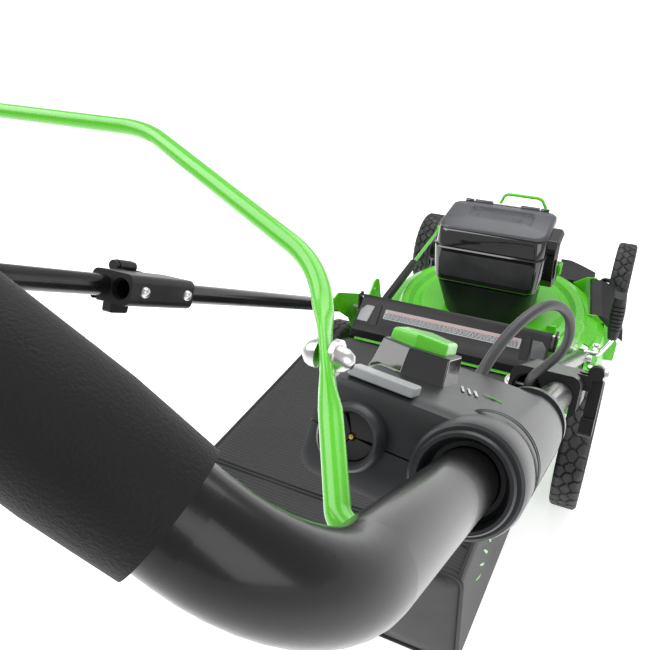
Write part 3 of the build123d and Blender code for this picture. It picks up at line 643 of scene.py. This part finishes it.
# ------------------------------------------------------------------ rear flap
def rear_flap():
    width = 181
    plate = [(-6, -1), (4, -3.5), (60, -1), (72.6, 0), (81, -4.2), (85.6, -4.2), (75, 5.2), (60, 5.3),
             (55, 3.6), (16, 3.6), (11, 5.6), (0, 6), (-5, 4.5)]
    bm = loft([[(x, y, z) for y, z in plate] for x in (-width, width)])
    finish_mesh("flap_plate", bm, FLAP, "black_plastic", "flap", bevel=0.8, segments=3,
                replaces=("rear_flap",))
    barrel = lathe([(3.1, -width), (5.2, -width), (6, -width + 1), (6, width - 1), (5.2, width),
                    (3.1, width)], 40)
    finish_mesh("flap_barrel", barrel, FLAP @ Matrix.Rotation(math.pi / 2, 4, "Y"), "black_plastic",
                "flap", smooth=40)
    # raised frame between the label recess and the inserts at both ends
    for x in (-143, 143):
        side = [(x - 5, 11), (x + 5, 11), (x + 8, 60), (x - 8, 60)]
        finish_mesh(f"flap_divider_{x}", prism(side, 3, 5.8), FLAP, "black_plastic", "flap", bevel=0.8)
    for side in (-1, 1):
        pane = [(side * 151, 17), (side * 168, 17), (side * 177, 30), (side * 177, 54), (side * 155, 54)]
        finish_mesh(f"flap_insert_{side}", prism(pane, 2.5, 4.6), FLAP, insert_grey, "flap",
                    bevel=0.9)
    label = prism(rounded(-132, 128, 19, 40, 2, 3), 3.4, 3.9)
    finish_mesh("flap_label", label, FLAP, pale_grey, "flap", bevel=0.1)
    # the label's print is only rows of plain dashes
    for row in range(7):
        y = 21.6 + 2.5 * row
        bm = bmesh.new()
        x = -128.0
        while x < 122:
            run = 3 + 9 * abs(noise.noise((x * 0.3, row * 3.7, 0.5)))
            corners = [(x, y, 4.05), (x + run, y, 4.05), (x + run, y + 1.1, 4.05), (x, y + 1.1, 4.05)]
            bm.faces.new([bm.verts.new(c) for c in corners])
            x += run + 1.6
        ink = mark_red if row in (0, 1) else "black_plastic"
        finish_mesh(f"flap_dashes_{row}", bm, FLAP, ink, "flap")
    for side in (-1, 1):
        x0, x1 = sorted((side * 12, side * 172))
        strip = loft([[(x, y, z) for y, z in ((70, -3.2), (88.5, -9.2), (89.3, -7.6), (71, -1.8))]
                      for x in (x0, x1)])
        finish_mesh(f"flap_green_edge_{side}", strip, FLAP, "green_paint", "flap", bevel=0.3)
    tab = prism([(-9, 66), (9, 66), (6, 80), (-6, 80)], -6, -3)
    finish_mesh("flap_tab", tab, FLAP, "green_paint", "flap", bevel=0.5)


# ------------------------------------------------------------------ grass bag
BAG_TOP = [(-54, 296), (-120, 334), (-236, 392), (-566, 430), (-580, 426)]
BAG_LOW = [(-54, 128), (-100, 108), (-217, 116), (-538, 214), (-580, 250)]
BAG_X = 192.0
BAG_FRONT, BAG_REAR = -56.0, -570.0


def along(points, y):
    """Height of a chain of (y, z) points at y."""
    for (y0, z0), (y1, z1) in zip(points, points[1:]):
        if y0 >= y >= y1:
            return z0 + (z1 - z0) * (y - y0) / (y1 - y0)
    return points[-1][1] if y < points[-1][0] else points[0][1]


def slack(x, y, z):
    """Low folds in slack cloth."""
    big = noise.noise((x * 0.008, y * 0.011, z * 0.011)) * 4
    fine = noise.noise((x * 0.03 + 7, y * 0.05, z * 0.04)) * 1.2
    return big + fine


def bag_section(y, corner=16.0, per_side=22):
    """One ring of the bag at y: top, left, bottom and right side, sagging between its seams."""
    top, low = along(BAG_TOP, y), along(BAG_LOW, y)
    span = (BAG_FRONT - y) / (BAG_FRONT - BAG_REAR)
    between = math.sin(math.pi * min(1, max(0, span))) ** 0.6
    ring = []
    middle = (top + low) / 2
    half = (top - low) / 2
    for px, pz in dense_rounded(BAG_X, half, corner, per_side):
        x, z = px, middle + pz
        across = 1 - (px / BAG_X) ** 2
        upright = 1 - (pz / half) ** 2
        if pz > half * 0.9:
            z -= between * (13 * across) - slack(x, y, 0) * across * between
        elif pz < -half * 0.9:
            z -= between * 3 * across
        else:
            x += math.copysign(1, px) * between * (slack(px, y, z) * 0.8 - 5 * upright) * upright
        ring.append((x, y, z))
    return ring


def dense_rounded(x, z, r, per_side):
    """Rounded rectangle about the origin with points along its sides as well."""
    outline = []
    corners = ((x - r, z - r, 0, (-1, 0), 2 * (x - r)), (-x + r, z - r, 90, (0, -1), 2 * (z - r)),
               (-x + r, -z + r, 180, (1, 0), 2 * (x - r)), (x - r, -z + r, 270, (0, 1), 2 * (z - r)))
    for cx, cz, start, way, run in corners:
        for i in range(6):
            a = math.radians(start + 90 * i / 5)
            outline.append((cx + r * math.cos(a), cz + r * math.sin(a)))
        last = outline[-1]
        for i in range(1, per_side):
            outline.append((last[0] + way[0] * run * i / per_side, last[1] + way[1] * run * i / per_side))
    return outline


def grass_bag():
    stations = 72
    sections = []
    for i in range(stations + 1):
        y = BAG_FRONT + (BAG_REAR - BAG_FRONT) * i / stations
        sections.append(bag_section(y))
    last = sections[-1]
    centre = Vector((0, BAG_REAR, (along(BAG_TOP, BAG_REAR) + along(BAG_LOW, BAG_REAR)) / 2))
    for k in range(1, 15):
        t = 1 - k / 15
        bulge = 4 + 13 * (1 - t ** 3)
        ring = []
        for p in last:
            q = centre + (Vector(p) - centre) * t
            lean = (q.z - centre.z) * 0.09
            ring.append((q.x, BAG_REAR - bulge * 0.9 - lean * 0.5 + slack(q.x, 3, q.z) * 0.5, q.z))
        sections.append(ring)
    bm = bmesh.new()
    rings = [[bm.verts.new(p) for p in s] for s in sections]
    bridge(bm, rings)
    bm.faces.new(rings[-1])
    uv = bm.loops.layers.uv.new("cloth")
    for f in bm.faces:
        f.normal_update()
        flat = max(range(3), key=lambda a: abs(f.normal[a]))
        pick = ((1, 2), (0, 2), (0, 1))[flat]
        for loop in f.loops:
            loop[uv].uv = (loop.vert.co[pick[0]] * 0.001, loop.vert.co[pick[1]] * 0.001)
        f.material_index = 0 if flat == 2 else 1
    o = finish_mesh("grass_bag", bm, MOWER, "mesh_fabric", "bag", smooth=80, replaces=("bag_fabric",))
    o.data.materials.append(side_cloth)
    wall = o.modifiers.new("cloth", "SOLIDIFY")
    wall.thickness = 1.0 * MM
    wall.offset = -1
    # piping along the four long seams and round the rear panel
    for sx in (-1, 1):
        for name, chain, dz in (("top", BAG_TOP, -2.0), ("low", BAG_LOW, 2.0)):
            points = []
            for i in range(41):
                y = BAG_FRONT - 2 + (BAG_REAR - BAG_FRONT) * i / 40
                points.append(Vector((sx * (BAG_X - 4.2), y,
                                      along(chain, y) + dz - (2.4 if dz < 0 else -2.4))))
            finish_mesh(f"bag_piping_{name}_{sx}", sweep(points, 2.6, 10), MOWER, piping, "bag",
                        smooth=60)
    rear = [Vector(p) + Vector((0, -1.5, 0)) for p in last]
    finish_mesh("bag_piping_rear", sweep(rear + rear[:2], 2.6, 10), MOWER, piping, "bag",
                smooth=60)
    for i in range(2):
        y = BAG_REAR + 44 + 6 * i
        sag = 12.2 * math.sin(math.pi * (BAG_FRONT - y) / (BAG_FRONT - BAG_REAR)) ** 0.6
        seam = [Vector((x, y, along(BAG_TOP, y) - sag * (1 - (x / BAG_X) ** 2) + 0.6))
                for x in range(-184, 185, 8)]
        finish_mesh(f"bag_zip_{i}", sweep(seam, 1.2, 8), MOWER, piping, "bag",
                    smooth=60)
    for i in range(5):
        y, z = -392 - 16 * i, 300 - 5 * i
        blade = [(y, z), (y - 7, z + 2), (y - 30, z + 52 - 7 * i), (y - 25, z + 50 - 7 * i)]
        bm = loft([[(x, py, pz) for py, pz in blade] for x in (186.5, 189.4)])
        finish_mesh(f"bag_stripe_{i}", bm, MOWER, "green_plastic", "bag", bevel=0.3)


# ------------------------------------------------------------------ wheels
def tread_depth(a, x, r, seeds):
    """Groove between tread blocks: 0 on a block, 1 in a groove."""
    u = a * r
    best, second = 1e9, 1e9
    turn = 2 * math.pi * r
    for su, sx in seeds:
        du = abs(u - su)
        du = min(du, turn - du)
        if du > 40:
            continue
        d = math.hypot(du, (x - sx) * 1.05)
        if d < best:
            best, second = d, best
        elif d < second:
            second = d
    gap = second - best
    return max(0.0, min(1.0, (3.4 - gap) / 1.6))


def tyre(corner, r, width):
    """Carcass with raised blocks between narrow grooves, and a pale line on each side wall."""
    side = 1 if corner.endswith("right") else -1
    pin = Vector(joints[f"wheel_{corner}_spin"]["pos_m"])
    low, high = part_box("tyre_" + corner)
    middle = (low.x + high.x) / 2
    rows = 3
    count = int(2 * math.pi * r / 24)
    seeds = []
    for j in range(rows):
        for i in range(count):
            wob = noise.noise((i * 1.7, j * 5.1, 1.3)) * 7
            shift = noise.noise((i * 2.3, j * 3.9, 7.7)) * 6
            seeds.append(((i + 0.5 * (j % 2)) * 2 * math.pi * r / count + wob,
                          (j - 1) * width * 0.33 + shift))
    around, across = int(r * 4), 22
    by_angle = {}
    cell = 2 * math.pi * r / 24
    for s in seeds:
        by_angle.setdefault(int(s[0] // cell) % 24, []).append(s)
    inner = r * 0.83
    bm = bmesh.new()
    rings = []
    for k in range(around):
        a = 2 * math.pi * k / around
        slot_at = int(a * r // cell) % 24
        close = [s for turn in (0, 1, -1) for s in by_angle.get((slot_at + turn) % 24, [])]
        ring = []
        for x, rr in ((-width / 2 + 5, inner + 0.6), (-width / 2 + 1.4, inner + 3),
                      (-width / 2 + 0.2, inner + 7), (-width / 2, r - 12)):
            ring.append((x, rr))
        for i in range(across + 1):
            t = -1 + 2 * i / across
            x = t * width / 2
            shoulder = max(0, abs(t) - 0.72) / 0.28
            top = r - 5.5 * shoulder ** 2 - 0.3
            groove = tread_depth(a, x, r, close)
            ring.append((x * (1 - 0.004 * groove), top - 3.2 * groove))
        for x, rr in ((width / 2, r - 12), (width / 2 - 0.2, inner + 7), (width / 2 - 1.4, inner + 3),
                      (width / 2 - 5, inner + 0.6)):
            ring.append((x, rr))
        rings.append([bm.verts.new((side * x, rr * math.cos(a), rr * math.sin(a))) for x, rr in ring])
    rings.append(rings[0])
    bridge(bm, rings, closed=True)
    hub = Matrix.Translation((middle, pin.y, pin.z)) @ Matrix.Scale(MM, 4)
    finish_mesh(f"tyre_{corner}_tread", bm, hub, "tyre_rubber", f"wheel_{corner}", smooth=25,
                replaces=("tyre_" + corner,))
    for face in (-1, 1):
        line = lathe([(r - 9.2, -0.5), (r - 9.2, 0.25), (r - 8.2, 0.25), (r - 8.2, -0.5)], 120)
        place = Matrix.Translation((middle + face * (width / 2 - 0.35) * MM, pin.y, pin.z))
        turned = place @ Matrix.Rotation(face * math.pi / 2, 4, "Y") @ Matrix.Scale(MM, 4)
        finish_mesh(f"tyre_{corner}_line_{face}", line, turned, pale_grey, f"wheel_{corner}",
                    smooth=50)


def wheels():
    tyre("rear_right", 127.3, 48)
    tyre("rear_left", 127.3, 48)
    tyre("front_right", 101.7, 44)
    tyre("front_left", 101.7, 44)


# ------------------------------------------------------------------ small pieces
def hex_bolt(name, matrix, body, r=6.0, height=5.0):
    bolt = [(r * math.cos(math.radians(60 * i)), r * math.sin(math.radians(60 * i))) for i in range(6)]
    finish_mesh(name, prism(bolt, 0, height), matrix, "zinc_steel", body, bevel=0.7, segments=2)
    washer = lathe([(0.01, 0), (r * 1.45, 0), (r * 1.45, 1.2), (0.01, 1.2)], 32)
    finish_mesh(name + "_washer", washer, matrix, "zinc_steel", body, smooth=30)


def motor_base_bolts():
    for i, (x, y, z) in enumerate(((-165, 214, 183), (150, 254, 190), (140, 214, 186))):
        place = MOWER @ Matrix.Translation((x, y, z))
        hex_bolt(f"base_bolt_{i}", place, "deck")
        clip = loft([[(px, py, pz) for px, py in rounded(-9, 9, -14, -6, 2, 3)] for pz in (0, 16)])
        finish_mesh(f"base_clip_{i}", clip, place, "green_paint", "deck", bevel=0.8)


def lever_nuts():
    for i, (x, y) in enumerate(((244, 258), (246, 236))):
        hex_bolt(f"lever_nut_{i}", MOWER @ Matrix.Translation((x, y, 167)), "deck", 5.5, 4)


def cam_hardware():
    for side in (-1, 1):
        name = "right" if side > 0 else "left"
        for s in (640, 660):
            place = LEG @ Matrix.Translation((side * 288, 22, s)) @ Matrix.Rotation(side * math.pi / 2, 4,
                                                                                    "Y")
            hex_bolt(f"cam_bolt_{name}_{s}", place, f"cam_{name}", 4.2, 4)


def camera():
    data = bpy.data.cameras.new("camera")
    data.sensor_width = 36
    data.lens = 38.93
    data.clip_start = 0.005
    o = bpy.data.objects.new("camera", data)
    bpy.context.scene.collection.objects.link(o)
    yaw, pitch, roll = 0.503, 0.63, -0.083
    ahead = Vector((-math.sin(yaw) * math.cos(pitch), math.cos(yaw) * math.cos(pitch), -math.sin(pitch)))
    level = Vector((math.cos(yaw), math.sin(yaw), 0))
    upright = level.cross(ahead)
    right = level * math.cos(roll) + upright * math.sin(roll)
    above = upright * math.cos(roll) - level * math.sin(roll)
    turn = Matrix((right, above, -ahead)).transposed().to_4x4()
    o.matrix_world = Matrix.Translation((0.300, -0.9051, 1.1287)) @ turn
    bpy.context.scene.camera = o


def studio():
    world = bpy.data.worlds.new("studio")
    world.use_nodes = True
    sky = world.node_tree.nodes["Background"]
    sky.inputs["Color"].default_value = (1, 1, 1, 1)
    sky.inputs["Strength"].default_value = 0.55
    bpy.context.scene.world = world
    bm = bmesh.new()
    bmesh.ops.create_grid(bm, x_segments=2, y_segments=2, size=30)
    mesh = bpy.data.meshes.new("floor")
    bm.to_mesh(mesh)
    bm.free()
    floor = bpy.data.objects.new("floor", mesh)
    bpy.context.scene.collection.objects.link(floor)
    pale = shade("floor_white", (0.93, 0.93, 0.93), 0.75, grain=40, bump=0.0, vary=0.01)
    glow = pale.node_tree.nodes["Principled BSDF"]
    glow.inputs["Emission Color"].default_value = (1, 1, 1, 1)
    glow.inputs["Emission Strength"].default_value = 0.6
    mesh.materials.append(pale)
    floor.location.z = -0.0005
    for name, place, size, power in (("key", (-1.6, -0.6, 2.6), 2.2, 55),
                                     ("fill", (2.2, -1.4, 1.9), 1.8, 22),
                                     ("top", (0.3, 1.6, 2.6), 2.4, 48)):
        data = bpy.data.lights.new(name, "AREA")
        data.size = size
        data.energy = power
        lamp = bpy.data.objects.new(name, data)
        bpy.context.scene.collection.objects.link(lamp)
        lamp.location = place
        lamp.rotation_euler = (Vector((0, 0.1, 0.4)) - Vector(place)).to_track_quat("-Z", "Y").to_euler()
    bpy.context.scene.view_settings.view_transform = "Standard"


# ------------------------------------------------------------------ build
dress_cad()
switch_box()
switch_block()
socket()
bail()
bail_details()
foam_grip()
power_cable()
housing()
lid()
rear_flap()
grass_bag()
wheels()
motor_base_bolts()
lever_nuts()
cam_hardware()
camera()
studio()
